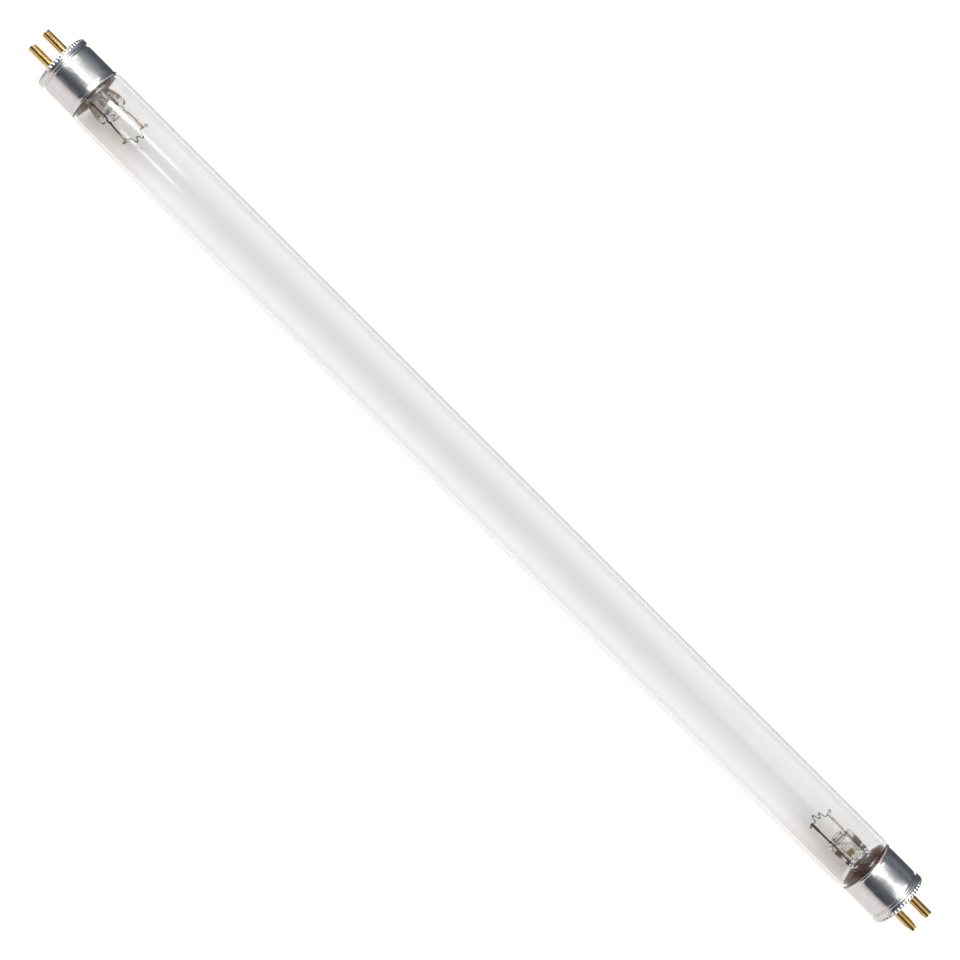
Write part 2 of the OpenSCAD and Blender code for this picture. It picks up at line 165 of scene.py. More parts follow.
LEFT = End("left", -1, 11.2, 4.2, 8.3, 1.3, 2.5, 5.2, 0.35, 8.1, -0.3, 0.85,
           {"front": 2.0, "back": 3.2}, "slanted")
RIGHT = End("right", 1, 14.9, 5.6, 7.0, 0.5, 1.1, 4.5, 0.1, 6.5, 0.9, 0.35,
            {"front": 0.9, "back": 1.2}, "crimped")
ENDS = (LEFT, RIGHT)
SIDES = {"front": -1, "back": 1}


# Curves

def ease(t):
    """An S-curve from 0 to 1."""
    return 0.5 - 0.5 * math.cos(math.pi * min(max(t, 0.0), 1.0))


def bump_at(t):
    """A smooth hump of height 1 at t = 0 that ends at -1 and 1."""
    return 0.0 if abs(t) >= 1 else 0.5 + 0.5 * math.cos(math.pi * t)


def steps(start, stop, count):
    return [start + (stop - start) * i / count for i in range(count + 1)]


def arc(x, y, r, start, stop, count):
    return [(x + r * math.cos(math.radians(a)), y + r * math.sin(math.radians(a)))
            for a in steps(start, stop, count)]


def glass_r(z):
    return TUBE_R + (NECK_R - TUBE_R) * ease((z - SHOULDER_Z) / SHOULDER_LEN)


def sheet_r(z):
    return LIP_R + (SHELL_R - LIP_R) * ease((z - EDGE_Z) / LIP_LEN)


# Meshes

def mesh_piece(name, points, faces, material, replaces=None, crease=50):
    """A closed mesh from points in millimetres, smooth but for edges sharper than crease."""
    bm = bmesh.new()
    verts = [bm.verts.new(Vector(p) * MM) for p in points]
    for face in faces:
        bm.faces.new([verts[i] for i in face])
    bmesh.ops.remove_doubles(bm, verts=bm.verts, dist=1e-7)
    bmesh.ops.recalc_face_normals(bm, faces=bm.faces)
    limit = math.radians(crease)
    for edge in bm.edges:
        edge.smooth = len(edge.link_faces) == 2 and edge.calc_face_angle(0.0) < limit
    for face in bm.faces:
        face.smooth = True
    mesh = bpy.data.meshes.new(name)
    bm.to_mesh(mesh)
    bm.free()
    piece = bpy.data.objects.new(name, mesh)
    bpy.context.scene.collection.objects.link(piece)
    piece.data.materials.append(material)
    if replaces:
        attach(piece, "root")
        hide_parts(replaces)
    return piece


def grid_faces(rows, columns, closed_rows, closed_columns=True):
    """Quads between the points of a grid that is stored row by row."""
    faces = []
    for i in range(rows if closed_rows else rows - 1):
        for k in range(columns if closed_columns else columns - 1):
            j, m = (i + 1) % rows, (k + 1) % columns
            faces.append((i * columns + k, j * columns + k, j * columns + m, i * columns + m))
    return faces


def turned(profile, count, radius_at=None):
    """Points and faces of a closed profile of (r, z) turned once round z."""
    points = []
    for r, z in profile:
        for k in range(count):
            a = 2 * math.pi * k / count
            rr = radius_at(r, z, a) if radius_at else r
            points.append((rr * math.cos(a), rr * math.sin(a), z))
    return points, grid_faces(len(profile), count, True)


def swept(path, section, side_axis=None, sizes=None):
    """Points and faces of a section carried along a path without twist, with closed ends."""
    rows, side = [], None
    for i, p in enumerate(path):
        heading = (Vector(path[min(i + 1, len(path) - 1)]) - Vector(path[max(i - 1, 0)])).normalized()
        start = side if side is not None else Vector((1, 0, 0) if abs(heading.x) < 0.7 else (0, 1, 0))
        if side_axis is not None:
            start = Vector(side_axis)
        side = (start - heading * start.dot(heading)).normalized()
        up = heading.cross(side)
        size = sizes[i] if sizes else 1.0
        rows += [tuple(Vector(p) + side * (u * size) + up * (v * size)) for u, v in section]
    n = len(section)
    last = (len(path) - 1) * n
    faces = grid_faces(len(path), n, False)
    faces += [tuple(range(n - 1, -1, -1)), tuple(range(last, last + n))]
    return rows, faces


def ring(r, count):
    return [(r * math.cos(2 * math.pi * k / count), r * math.sin(2 * math.pi * k / count))
            for k in range(count)]


def joined(*parts):
    """Several (points, faces) as one."""
    points, faces = [], []
    for more_points, more_faces in parts:
        base = len(points)
        points += list(more_points)
        faces += [tuple(base + i for i in face) for face in more_faces]
    return points, faces


def placed(end, points, shift_y=0.0):
    return [end.place(x, y + shift_y, z) for x, y, z in points]


def cut(piece, points, faces):
    """Takes a closed tool shape out of a piece."""
    tool = mesh_piece("cutter", points, faces, piece.data.materials[0])
    modifier = piece.modifiers.new("cut", "BOOLEAN")
    modifier.operation = "DIFFERENCE"
    modifier.solver = "EXACT"
    modifier.object = tool
    graph = bpy.context.evaluated_depsgraph_get()
    mesh = bpy.data.meshes.new_from_object(piece.evaluated_get(graph))
    piece.modifiers.clear()
    piece.data = mesh
    bpy.data.objects.remove(tool)


# Shader nodes

class Nodes:
    """Short words for building a node tree."""

    def __init__(self, tree):
        self.tree = tree

    def add(self, kind, **settings):
        node = self.tree.nodes.new(kind)
        inputs = settings.pop("inputs", {})
        for key, value in settings.items():
            setattr(node, key, value)
        for key, value in inputs.items():
            self.feed(node, key, value)
        return node

    def feed(self, node, key, value):
        if isinstance(value, bpy.types.NodeSocket):
            self.tree.links.new(value, node.inputs[key])
        else:
            node.inputs[key].default_value = value

    def math(self, operation, a, b=0.0, clamp=False):
        node = self.add("ShaderNodeMath", operation=operation, use_clamp=clamp)
        self.feed(node, 0, a)
        self.feed(node, 1, b)
        return node.outputs[0]

    def span(self, value, low, high, to_low=0.0, to_high=1.0):
        node = self.add("ShaderNodeMapRange", interpolation_type="SMOOTHSTEP")
        for key, v in zip(("Value", "From Min", "From Max", "To Min", "To Max"),
                          (value, low, high, to_low, to_high)):
            self.feed(node, key, v)
        return node.outputs["Result"]

    def mix(self, factor, a, b, blend="MIX"):
        node = self.add("ShaderNodeMix", data_type="RGBA", blend_type=blend)
        self.feed(node, "Factor", factor)
        self.feed(node, "A", a)
        self.feed(node, "B", b)
        return node.outputs["Result"]

    def noise(self, vector, scale, detail=3.0, roughness=0.55):
        node = self.add("ShaderNodeTexNoise", inputs={
            "Vector": vector, "Scale": scale, "Detail": detail, "Roughness": roughness})
        return node.outputs["Fac"]

    def in_mm(self, stretch=(1, 1, 1)):
        """The piece's own coordinates in millimetres."""
        coord = self.add("ShaderNodeTexCoord")
        mapping = self.add("ShaderNodeMapping", inputs={
            "Vector": coord.outputs["Object"], "Scale": [s / MM for s in stretch]})
        return mapping.outputs["Vector"]

    def place_group(self, group, **inputs):
        node = self.tree.nodes.new("ShaderNodeGroup")
        node.node_tree = group
        for key, value in inputs.items():
            self.feed(node, key, value)
        return node.outputs


def colour(red, green, blue):
    """A colour written as it shows, from 0 to 255."""
    def linear(c):
        c /= 255
        return c / 12.92 if c <= 0.04045 else ((c + 0.055) / 1.055) ** 2.4
    return (linear(red), linear(green), linear(blue), 1.0)


def new_group(name, inputs, outputs):
    """An empty group with its named sockets: (kind, name, start value) and (kind, name)."""
    tree = bpy.data.node_groups.new(name, "ShaderNodeTree")
    for kind, label, value in inputs:
        socket = tree.interface.new_socket(label, in_out="INPUT", socket_type=kind)
        if value is not None:
            socket.default_value = value
    for kind, label in outputs:
        tree.interface.new_socket(label, in_out="OUTPUT", socket_type=kind)
    nodes = Nodes(tree)
    entry = nodes.add("NodeGroupInput").outputs
    leave = nodes.add("NodeGroupOutput").inputs
    return tree, nodes, entry, leave


FLOAT, VECTOR, COLOR = "NodeSocketFloat", "NodeSocketVector", "NodeSocketColor"


def make_mottle_group():
    """Uneven tone of a surface: large clouds, small grains and the two together."""
    tree, n, given, out = new_group(
        "mottle",
        [(VECTOR, "Place", None), (FLOAT, "Cloud Size", 3.0), (FLOAT, "Grain Size", 0.3)],
        [(FLOAT, "Clouds"), (FLOAT, "Grains"), (FLOAT, "Both")])
    clouds = n.noise(given["Place"], n.math("DIVIDE", 1.0, given["Cloud Size"]), 4.0, 0.6)
    grains = n.noise(given["Place"], n.math("DIVIDE", 1.0, given["Grain Size"]), 2.0, 0.5)
    n.tree.links.new(n.span(clouds, 0.3, 0.7), out["Clouds"])
    n.tree.links.new(n.span(grains, 0.3, 0.7), out["Grains"])
    both = n.math("MULTIPLY", n.math("ADD", clouds, grains), 0.5)
    n.tree.links.new(n.span(both, 0.35, 0.65), out["Both"])
    return tree


def make_drawn_group():
    """Fine lines that a die or a lathe leaves, as a height and as a mask of deeper scratches."""
    tree, n, given, out = new_group(
        "drawn_lines",
        [(VECTOR, "Place", None), (FLOAT, "Line Size", 0.05)],
        [(FLOAT, "Height"), (FLOAT, "Scratches")])
    scale = n.math("DIVIDE", 1.0, given["Line Size"])
    lines = n.noise(given["Place"], scale, 3.0, 0.6)
    rare = n.noise(given["Place"], n.math("MULTIPLY", scale, 0.35), 1.0, 0.5)
    n.tree.links.new(lines, out["Height"])
    n.tree.links.new(n.span(rare, 0.62, 0.72), out["Scratches"])
    return tree


def make_end_distance_group():
    """How far a point lies from the nearer cap's open edge and to the back, and 1 at the right end."""
    tree, n, given, out = new_group(
        "from_cap", [(VECTOR, "Place", None)], [(FLOAT, "Distance"), (FLOAT, "Back"), (FLOAT, "Right")])
    parts = n.add("ShaderNodeSeparateXYZ", inputs={"Vector": given["Place"]})
    along = n.math("ABSOLUTE", parts.outputs["X"])
    n.tree.links.new(n.math("SUBTRACT", EDGE_Z, along), out["Distance"])
    n.tree.links.new(parts.outputs["Y"], out["Back"])
    n.tree.links.new(n.math("GREATER_THAN", parts.outputs["X"], 0.0), out["Right"])
    return tree


MOTTLE = make_mottle_group()
DRAWN = make_drawn_group()
FROM_CAP = make_end_distance_group()


def new_material(name):
    material = bpy.data.materials.new(name)
    material.use_nodes = True
    tree = material.node_tree
    tree.nodes.clear()
    n = Nodes(tree)
    shader = n.add("ShaderNodeBsdfPrincipled")
    leave = n.add("ShaderNodeOutputMaterial")
    tree.links.new(shader.outputs["BSDF"], leave.inputs["Surface"])
    return material, n, shader


def bumped(n, height, strength, distance_mm):
    node = n.add("ShaderNodeBump", inputs={
        "Height": height, "Strength": strength, "Distance": distance_mm * MM})
    return node.outputs["Normal"]


TUBE_CLEAR = (0.99, 0.988, 0.985, 1.0)
TUBE_EDGE = (0.775, 0.772, 0.768, 1.0)
# Grey-brown of the painted shadow that the caps and stems cast on the table, seen through the glass near each
# end
TUBE_PAINTED_SHADOW = (0.71, 0.675, 0.65, 1.0)
STEM_CLEAR = (0.97, 0.965, 0.955, 1.0)
# Brown where the wires pass on the right press, and the painted reflection of the brown cement near the left
# cap
STEM_BROWN_AND_REFLECTION = (0.31, 0.23, 0.17, 1.0)
STEM_BURNT = (0.15, 0.095, 0.06, 1.0)
STEM_OLIVE = (0.52, 0.46, 0.2, 1.0)
STEM_THIN = 0.3
FLARE_DEPTH = 0.12


def make_tube_glass():
    """Clear drawn glass, duller edge-on, with a painted shadow of the caps and stems greyed in near the caps,
    mostly on the front side.
    """
    material, n, shader = new_material("tube_glass")
    place = n.in_mm()
    where = n.place_group(FROM_CAP, Place=place)
    # Painted shadow: the soft shadow of the caps and stems on the table, seen through the tube, is greyed into
    # the glass near each cap, mostly on the front side
    near = n.span(where["Distance"], 14.0, 5.0)
    front = n.math("SUBTRACT", where["Back"], n.math("MULTIPLY", near, -1.7))
    painted_cap_shadow = n.math("MULTIPLY", n.span(where["Distance"], 28.0, -2.0), n.span(front, 1.6, -2.4))
    painted_cap_shadow = n.math("MULTIPLY", painted_cap_shadow, n.span(where["Back"], -8.8, -6.0, 0.4, 1.0))
    clouds = n.place_group(MOTTLE, Place=place, **{"Cloud Size": 4.0, "Grain Size": 0.8})
    painted_cap_shadow = n.math("MULTIPLY", painted_cap_shadow, n.span(clouds["Clouds"], 0.0, 1.0, 0.8, 1.0))
    painted_cap_shadow = n.math("MULTIPLY", painted_cap_shadow, n.span(where["Distance"], 0.3, 2.0))
    long_way = n.span(n.add("ShaderNodeLayerWeight").outputs["Facing"], 0.1, 0.62)
    clear = n.mix(long_way, TUBE_CLEAR, TUBE_EDGE)
    n.feed(shader, "Base Color", n.mix(painted_cap_shadow, clear, TUBE_PAINTED_SHADOW))
    waves = n.noise(n.in_mm((0.02, 1, 1)), 0.2, 0.0)
    n.feed(shader, "Normal", bumped(n, waves, 0.0015, 0.05))
    n.feed(shader, "Roughness", 0.0)
    n.feed(shader, "IOR", 1.47)
    n.feed(shader, "Transmission Weight", 1.0)
    return material


def make_stem_glass():
    """Lead glass that was pressed flat in a flame, faintly brown where the wires pass on the right press; near
    the left cap its brown is a painted reflection of the cement seen through the stem's hollow.
    """
    material, n, shader = new_material("stem_glass")
    place = n.in_mm()
    clouds = n.place_group(MOTTLE, Place=place, **{"Cloud Size": 2.2, "Grain Size": 0.5})
    where = n.place_group(FROM_CAP, Place=place)
    distance, right = where["Distance"], where["Right"]
    left = n.math("SUBTRACT", 1.0, right)
    patchy = n.span(clouds["Clouds"], 0.1, 0.6, 0.65, 1.0)
    # Painted reflection: near the left cap the brown cement, seen through the stem's hollow, is painted into
    # the glass, most in the side lobes and less at the front
    lobes = n.span(n.math("ABSOLUTE", where["Back"]), 1.0, 1.7)
    reach = n.math("SUBTRACT", distance, n.math("MULTIPLY", lobes, 0.9))
    painted_cement_reflection = n.math("MULTIPLY", n.span(distance, 0.2, 1.6), n.span(reach, 3.9, 3.6))
    painted_cement_reflection = n.math("MULTIPLY", painted_cement_reflection, n.math("ADD", n.math("MULTIPLY", lobes, 0.4), 0.6))
    painted_cement_reflection = n.math("MULTIPLY", painted_cement_reflection, n.span(where["Back"], -1.0, 1.0, 0.75, 1.0))
    back_zone = n.math("MULTIPLY", n.span(distance, 4.3, 4.7), n.span(distance, 7.0, 6.6))
    back_zone = n.math("MULTIPLY", back_zone, n.span(where["Back"], 1.7, 2.2))
    front_zone = n.math("MULTIPLY", n.span(distance, 5.4, 5.8), n.span(distance, 7.6, 7.2))
    front_zone = n.math("MULTIPLY", front_zone, n.span(where["Back"], -1.7, -2.2))
    middle = n.span(n.math("ABSOLUTE", n.math("ADD", where["Back"], 0.1)), 1.2, 0.9)
    browned_and_cement_reflection = n.math("ADD", n.math("MULTIPLY", left, painted_cement_reflection),
                     n.math("MULTIPLY", right, n.math("ADD", back_zone, front_zone)))
    olive = n.math("MULTIPLY", n.span(distance, 4.4, 4.7), n.span(distance, 5.9, 5.6))
    olive = n.math("MULTIPLY", right, n.math("MULTIPLY", olive, middle))
    base = n.mix(n.math("MULTIPLY", browned_and_cement_reflection, patchy), STEM_CLEAR, STEM_BROWN_AND_REFLECTION)
    base = n.mix(n.math("MULTIPLY", olive, patchy), base, STEM_OLIVE)
    deep = n.math("MULTIPLY", n.math("MULTIPLY", right, browned_and_cement_reflection), patchy)
    base = n.mix(deep, base, STEM_BURNT)
    pressed = n.span(distance, 9.5, 8.5)
    specks = n.math("MULTIPLY", n.span(n.noise(place, 1.7, 2.0, 0.6), 0.6, 0.66), pressed)
    n.feed(shader, "Base Color", n.mix(specks, base, STEM_BURNT))
    n.feed(shader, "Alpha", n.span(distance, 1.6, 0.2, 1.0, STEM_THIN))
    n.feed(shader, "Normal", bumped(n, clouds["Clouds"], 0.25, 0.12))
    n.feed(shader, "Roughness", 0.02)
    n.feed(shader, "IOR", 1.5)
    n.feed(shader, "Transmission Weight", 1.0)
    return material


def make_cap_aluminium():
    """Thin drawn aluminium, finely mottled, that flares at its lip and draws in at its groove."""
    material, n, shader = new_material("cap_aluminium")
    place = n.in_mm()
    tone = n.place_group(MOTTLE, Place=place, **{"Cloud Size": 2.5, "Grain Size": 0.3})
    lines = n.place_group(DRAWN, Place=n.in_mm((1, 0.5, 0.5)), **{"Line Size": 0.12})
    base = n.mix(tone["Both"], colour(222, 222, 224), colour(236, 236, 237))
    n.feed(shader, "Base Color", n.mix(lines["Scratches"], base, colour(212, 213, 216)))
    n.feed(shader, "Roughness", n.span(tone["Both"], 0.0, 1.0, 0.1, 0.18))
    skin = n.math("ADD", n.math("MULTIPLY", tone["Grains"], 0.8), n.math("MULTIPLY", lines["Height"], 0.5))
    skin = n.math("MULTIPLY", skin, 0.008)
    distance = n.place_group(FROM_CAP, Place=place)["Distance"]
    along = n.math("DIVIDE", n.math("SUBTRACT", EDGE_Z - BODY_MIDDLE, distance), BODY_HALF)
    along = n.math("MAXIMUM", n.math("MINIMUM", along, 1.0), -1.0)
    cube = n.math("MULTIPLY", n.math("MULTIPLY", along, along), along)
    flared = n.math("MULTIPLY", cube, -FLARE_DEPTH)
    n.feed(shader, "Normal", bumped(n, n.math("ADD", flared, skin), 1.0, 1.0))
    n.feed(shader, "Metallic", 1.0)
    return material


def make_pin_brass():
    """Drawn brass, bright, with long fine die lines."""
    material, n, shader = new_material("pin_brass")
    tone = n.place_group(MOTTLE, Place=n.in_mm(), **{"Cloud Size": 1.2, "Grain Size": 0.15})
    lines = n.place_group(DRAWN, Place=n.in_mm((0.08, 1, 1)), **{"Line Size": 0.1})
    base = n.mix(tone["Clouds"], colour(236, 202, 136), colour(222, 182, 112))
    n.feed(shader, "Base Color", n.mix(lines["Scratches"], base, colour(170, 122, 64)))
    n.feed(shader, "Roughness", n.span(tone["Both"], 0.0, 1.0, 0.06, 0.13))
    n.feed(shader, "Normal", bumped(n, lines["Height"], 0.3, 0.01))
    n.feed(shader, "Metallic", 1.0)
    return material


def make_base_cement():
    """Baked cement, pale where it is thin at the cap's edge and reddish brown further in."""
    material, n, shader = new_material("base_cement")
    place = n.in_mm()
    tone = n.place_group(MOTTLE, Place=place, **{"Cloud Size": 2.4, "Grain Size": 0.25})
    where = n.place_group(FROM_CAP, Place=place)
    pale = n.mix(tone["Clouds"], colour(216, 200, 186), colour(236, 226, 216))
    front = n.span(where["Back"], -1.0, -4.0)
    baked = n.mix(where["Right"], colour(236, 184, 132), colour(248, 158, 78))
    baked = n.mix(n.math("MULTIPLY", front, 0.7), baked, colour(250, 222, 188))
    # In the cement these are its own burnt patches, not painted shade
    burnt_and_painted_dark = n.mix(where["Right"], colour(194, 128, 84), colour(192, 94, 44))
    burnt_and_painted_dark = n.mix(n.math("MULTIPLY", front, 0.5), burnt_and_painted_dark, colour(222, 166, 120))
    baked = n.mix(n.span(n.noise(place, 0.5, 2.0), 0.42, 0.62), baked, burnt_and_painted_dark)
    base = n.mix(n.span(where["Distance"], -0.25, -0.75), pale, baked)
    n.feed(shader, "Base Color", base)
    n.feed(shader, "Roughness", n.span(tone["Grains"], 0.0, 1.0, 0.55, 0.8))
    n.feed(shader, "Normal", bumped(n, tone["Both"], 0.6, 0.12))
    return material


def make_disc_phenolic():
    """Pressed brown phenolic board with fine paper fibres."""
    material, n, shader = new_material("disc_phenolic")
    tone = n.place_group(MOTTLE, Place=n.in_mm(), **{"Cloud Size": 3.0, "Grain Size": 0.18})
    fibres = n.place_group(DRAWN, Place=n.in_mm((1, 0.3, 1)), **{"Line Size": 0.15})
    base = n.mix(tone["Clouds"], colour(92, 54, 34), colour(112, 70, 44))
    n.feed(shader, "Base Color", n.mix(fibres["Scratches"], base, colour(138, 92, 58)))
    n.feed(shader, "Roughness", n.span(tone["Grains"], 0.0, 1.0, 0.4, 0.55))
    n.feed(shader, "Normal", bumped(n, fibres["Height"], 0.3, 0.03))
    return material


def make_wire_metal(name, bright, dull, rough_low, rough_high):
    """A bare wire, tarnished in patches."""
    material, n, shader = new_material(name)
    tone = n.place_group(MOTTLE, Place=n.in_mm(), **{"Cloud Size": 0.9, "Grain Size": 0.12})
    n.feed(shader, "Base Color", n.mix(tone["Both"], bright, dull))
    n.feed(shader, "Roughness", n.span(tone["Clouds"], 0.0, 1.0, rough_low, rough_high))
    n.feed(shader, "Normal", bumped(n, tone["Grains"], 0.3, 0.02))
    n.feed(shader, "Metallic", 1.0)
    return material


def make_lead_nickel():
    """Nickel-plated wire; the front one of each pair is painted dark near its press, and on the right all
    along, as a painted reflection of dark surroundings.
    """
    material, n, shader = new_material("lead_nickel")
    place = n.in_mm()
    tone = n.place_group(MOTTLE, Place=place, **{"Cloud Size": 0.9, "Grain Size": 0.12})
    where = n.place_group(FROM_CAP, Place=place)
    clean = n.mix(tone["Both"], colour(214, 199, 178), colour(146, 128, 112))
    clean = n.mix(n.math("MULTIPLY", where["Right"], 0.6), clean, colour(196, 190, 184))
    # Painted reflection: the front lead's dark colour stands in for the dark surroundings it reflects, near the
    # press on the left and all along on the right
    burnt_and_painted_dark = n.mix(tone["Both"], colour(96, 72, 54), colour(44, 33, 28))
    front = n.span(where["Back"], 0.4, -0.4)
    near_press = n.span(n.math("SUBTRACT", where["Distance"], n.math("MULTIPLY", where["Right"], 9.0)),
                        11.4, 10.4)
    n.feed(shader, "Base Color", n.mix(n.math("MULTIPLY", front, near_press), clean, burnt_and_painted_dark))
    n.feed(shader, "Roughness", n.span(tone["Clouds"], 0.0, 1.0, 0.2, 0.4))
    n.feed(shader, "Normal", bumped(n, tone["Grains"], 0.3, 0.02))
    n.feed(shader, "Metallic", 1.0)
    return material


def make_mercury():
    """A bead of liquid metal with a trace of grey skin."""
    material, n, shader = new_material("mercury")
    tone = n.place_group(MOTTLE, Place=n.in_mm(), **{"Cloud Size": 0.5, "Grain Size": 0.1})
    n.feed(shader, "Base Color", n.mix(tone["Clouds"], colour(226, 227, 230), colour(208, 209, 213)))
    n.feed(shader, "Roughness", n.span(tone["Clouds"], 0.0, 1.0, 0.02, 0.08))
    n.feed(shader, "Metallic", 1.0)
    return material


TUBE_GLASS = make_tube_glass()
STEM_GLASS = make_stem_glass()
CAP_ALUMINIUM = make_cap_aluminium()
PIN_BRASS = make_pin_brass()
BASE_CEMENT = make_base_cement()
DISC_PHENOLIC = make_disc_phenolic()
LEAD_NICKEL = make_lead_nickel()
SEAL_WIRE = make_wire_metal("seal_wire", colour(120, 62, 40), colour(46, 30, 26), 0.3, 0.5)
TAIL_COPPER = make_wire_metal("tail_copper", colour(222, 150, 110), colour(170, 100, 70), 0.2, 0.35)
COIL_TUNGSTEN = make_wire_metal("coil_tungsten", colour(128, 128, 130), colour(70, 70, 74), 0.35, 0.5)
MERCURY = make_mercury()


# Envelope

def build_glass_tube():
    shoulder = steps(SHOULDER_Z, SHOULDER_Z + SHOULDER_LEN, 24)
    body = steps(0, SHOULDER_Z, 12)[:-1]
    half = [(glass_r(z), z) for z in body + shoulder] + [(NECK_R, NECK_Z)]
    outside = [(r, -z) for r, z in reversed(half[1:])] + half
    inside = [(r - TUBE_WALL, z) for r, z in reversed(outside)]
    points, faces = turned(outside + inside, 256)
    mesh_piece("glass_tube_drawn", placed(RIGHT, points), faces, TUBE_GLASS,
               "glass_tube", 60)


def build_mercury_bead():
    """A drop that sags a little under its own weight."""
    points = []
    rows, columns = 33, 48
    for i in range(rows):
        a = math.pi * i / (rows - 1)
        r, h = math.sin(a), math.cos(a)
        h = -0.9 + 0.2 * (h + 0.9) if h < -0.9 else h
        for k in range(columns):
            b = 2 * math.pi * k / columns
            points.append((NECK_Z - MERCURY_PLACE + MERCURY_R * r * math.cos(b),
                           MERCURY_R * r * math.sin(b),
                           0.01 - TUBE_R + TUBE_WALL + MERCURY_R * (h + 0.92)))
    mesh_piece("mercury_drop", points, grid_faces(rows, columns, False), MERCURY,
               "mercury_bead", 80)


# Caps

def serrated(r, z, angle):
    """Radius of the cap with the dimples of its serrated rim pressed in."""
    if r < RIM_R - BEAD_ROUND * 0.7:
        return r
    pitch = 2 * math.pi / SERRATIONS
    across = ((angle / pitch) % 1.0 - 0.5) * pitch * RIM_R
    off = math.hypot(across / (SERRATION_W / 2), (z - (FACE_Z - SERRATION_INSET)) / (SERRATION_LEN / 2))
    return r - SERRATION_DEPTH * bump_at(off) ** 0.7


def rolled_lip():
    """Outside of the cap's open edge, rolled out over the shoulder of the glass."""
    low, crest = LIP_R - 0.12, LIP_R
    return [(low, EDGE_Z + 0.02), (crest - 0.03, EDGE_Z + 0.06), (crest, EDGE_Z + 0.16),
            (crest, EDGE_Z + 0.3), (crest - 0.02, EDGE_Z + 0.42), (crest - 0.07, EDGE_Z + 0.54),
            (crest - 0.13, EDGE_Z + 0.64), (SHELL_R + LACQUER + 0.04, EDGE_Z + 0.74),
            (SHELL_R + LACQUER, EDGE_Z + 0.84), (SHELL_R + LACQUER - 0.02, EDGE_Z + LIP_LEN)]


def cap_profile():
    groove_z = DISC_BOTTOM - GROOVE_W
    groove_r = SHELL_R - GROOVE_DEPTH
    skin_r = SHELL_R + LACQUER
    lip = steps(EDGE_Z + 0.05, EDGE_Z + LIP_LEN, 12)
    outer = [(LIP_R - SHELL_WALL, EDGE_Z)] + rolled_lip()
    corner_z = groove_z - 2 * GROOVE_DEPTH
    outer += [(skin_r, z) for z in steps(EDGE_Z + LIP_LEN, corner_z, 10)[1:]]
    outer += [(skin_r - (skin_r - groove_r) * ease(u), corner_z + u * 2.6 * GROOVE_DEPTH)
              for u in steps(0, 1, 8)[1:]]
    bead_z = DISC_BOTTOM + BEAD_ROUND
    outer += [(groove_r + (RIM_R - groove_r) * math.sin(math.radians(a)),
               bead_z - (BEAD_ROUND + 0.12) * math.cos(math.radians(a))) for a in steps(0, 90, 10)]
    outer += [(RIM_R, z) for z in steps(bead_z, FACE_Z - BEAD_ROUND, 10)[1:-1]]
    outer += arc(RIM_R - BEAD_ROUND, FACE_Z - BEAD_ROUND, BEAD_ROUND, 0, 90, 16)
    hole_r = RIM_R - ROLLED_W - SHELL_WALL
    rolled = arc(hole_r + SHELL_WALL / 2, FACE_Z - SHELL_WALL / 2, SHELL_WALL / 2, 90, 270, 8)
    inner = [(RIM_R - SHELL_WALL, FACE_Z - SHELL_WALL), (RIM_R - SHELL_WALL, DISC_BOTTOM),
             (groove_r - SHELL_WALL, DISC_BOTTOM - FUSED_GAP), (groove_r - SHELL_WALL, groove_z),
             (SHELL_R - SHELL_WALL, groove_z - GROOVE_DEPTH)]
    inner += [(sheet_r(z) - SHELL_WALL, z) for z in reversed(lip)]
    return outer + rolled + inner


def build_cap_shell(end):
    points, faces = turned(cap_profile(), SERRATIONS * 12, serrated)
    node = end.name + "_cap_shell"
    mesh_piece(node + "_drawn", placed(end, points), faces, CAP_ALUMINIUM, node, 40)


def build_base_disc(end):
    top, bottom = DISC_TOP, DISC_BOTTOM + FUSED_GAP
    disc_r = RIM_R - SHELL_WALL - FUSED_GAP
    boss_r = SHELL_R - GROOVE_DEPTH - SHELL_WALL - BOSS_ROOM
    profile = [(0, BOSS_Z), (boss_r - 0.15, BOSS_Z), (boss_r, BOSS_Z + 0.15), (boss_r, bottom),
               (disc_r - 0.1, bottom), (disc_r, bottom + 0.1), (disc_r, top - 0.15),
               (disc_r - 0.15, top), (0, top)]
    points, faces = turned(profile, 128)
    node = end.name + "_base_disc"
    piece = mesh_piece(node + "_pressed", placed(end, points), faces, DISC_PHENOLIC,
                       node, 35)
    for side in SIDES.values():
        hole = [(0, BOSS_Z - 1), (SHANK_R + FUSED_GAP, BOSS_Z - 1),
                (SHANK_R + FUSED_GAP, top + 1), (0, top + 1)]
        points, faces = turned(hole, 48)
        cut(piece, placed(end, points, side * PIN_PITCH / 2), faces)


def build_cement(end):
    """The ring of cement, which has wetted the glass: it starts just under the glass's skin."""
    heights = steps(EDGE_Z + CEMENT_INSET, NECK_Z - CEMENT_SHORT, 24)
    profile = [(sheet_r(z) - SHELL_WALL - BED_GAP, z) for z in heights]
    profile += [(glass_r(z) - WETTED, z) for z in reversed(heights)]
    points, faces = turned(profile, 192)
    node = end.name + "_cement"
    mesh_piece(node + "_baked", placed(end, points), faces, BASE_CEMENT, node, 40)


